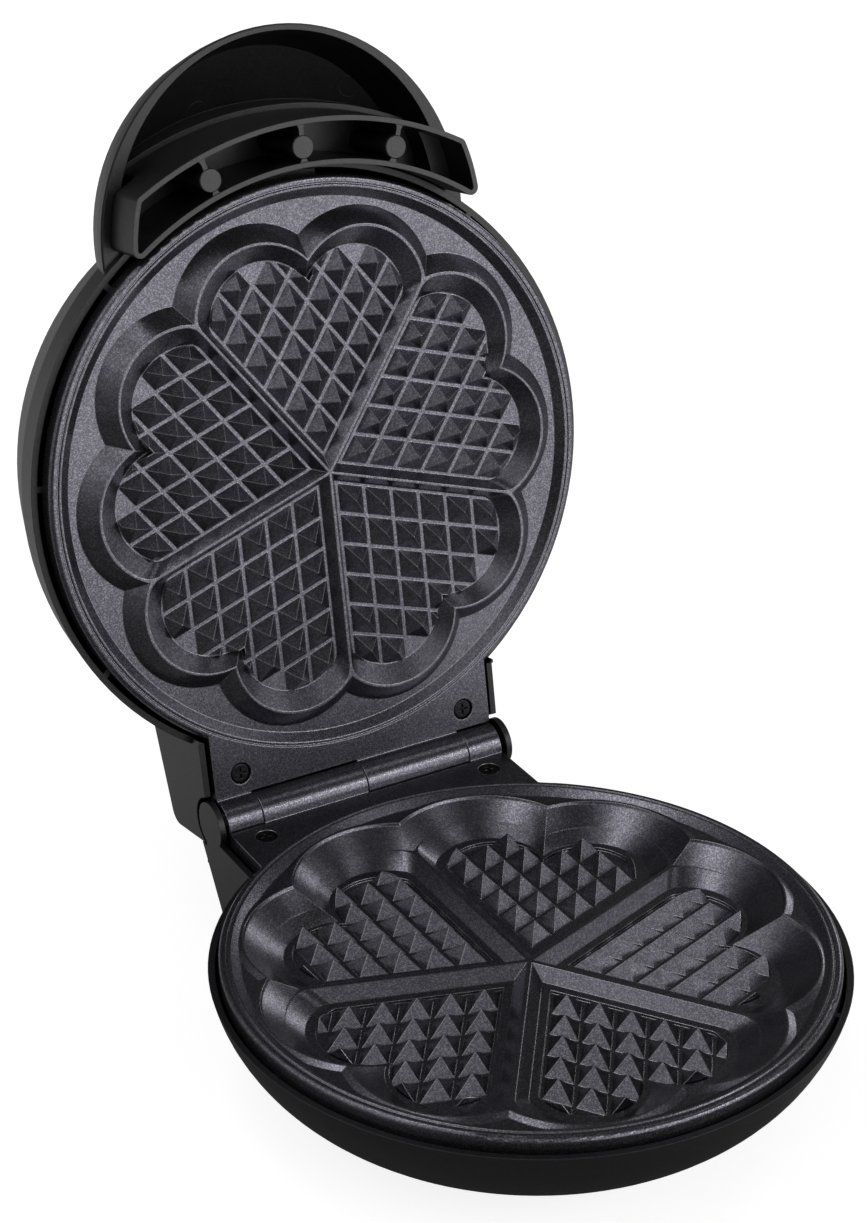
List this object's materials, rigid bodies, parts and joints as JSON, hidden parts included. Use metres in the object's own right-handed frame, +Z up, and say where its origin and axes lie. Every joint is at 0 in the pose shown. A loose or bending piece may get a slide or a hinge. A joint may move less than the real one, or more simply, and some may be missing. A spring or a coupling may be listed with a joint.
{
  "type": "electric heart waffle iron",
  "caption": "Round tabletop waffle iron with five heart-shaped cavities, hinged lid with a hooded grip and built-in ring heaters, shown standing open.",
  "frame": {"origin": "on the surface the feet stand on, under the middle of the open iron", "axes": "+X along the hinge axis, +Y from the cooking plate towards the hinge, +Z up"},
  "size_m": [0.192, 0.2808, 0.282],
  "materials": {
    "casing": "satin black heat-resistant plastic with a fine moulded grain",
    "coated_casting": "die-cast aluminium under a dark charcoal non-stick coating with a faint metallic fleck",
    "screw_steel": "blackened steel",
    "heater_sheath": "dull heater sheath",
    "shield_steel": "plain aluminised sheet",
    "fuse_body": "pale glazed body",
    "terminal_plastic": "off-white moulded",
    "inlet_plastic": "black moulded",
    "foot_rubber": "matt black rubber",
    "pin_steel": "plain steel",
    "thermostat_body": "tan moulded body",
    "board": "green board",
    "red_lens": "clear red",
    "green_lens": "clear green",
    "grip_plastic": "satin black plastic"
  },
  "bodies": {
    "base": {"lower_casing": "casing", "lower_plate": "coated_casting", "lower_plate_screws": "screw_steel", "lower_heating_element": "heater_sheath", "lower_heat_shield": "shield_steel", "lower_shield_screws": "screw_steel", "thermal_fuse": "fuse_body", "terminal_block": "terminal_plastic", "cord_inlet": "inlet_plastic", "rubber_feet": "foot_rubber", "hinge_pin": "pin_steel", "pin_clip": "pin_steel"},
    "lid": {"upper_casing": "casing", "upper_plate": "coated_casting", "upper_plate_screws": "screw_steel", "upper_heating_element": "heater_sheath", "upper_heat_shield": "shield_steel", "upper_shield_screws": "screw_steel", "thermostat": "thermostat_body", "lamp_board": "board", "power_lens": "red_lens", "ready_lens": "green_lens", "grip": "grip_plastic", "grip_screws": "screw_steel"}
  },
  "joints": [
    {"name": "lid_hinge", "type": "hinge", "parent": "base", "child": "lid", "pos_m": [0, 0.06077, 0.04415], "axis": [1, 0, 0], "range_deg": [0, 100.3]}
  ]
}
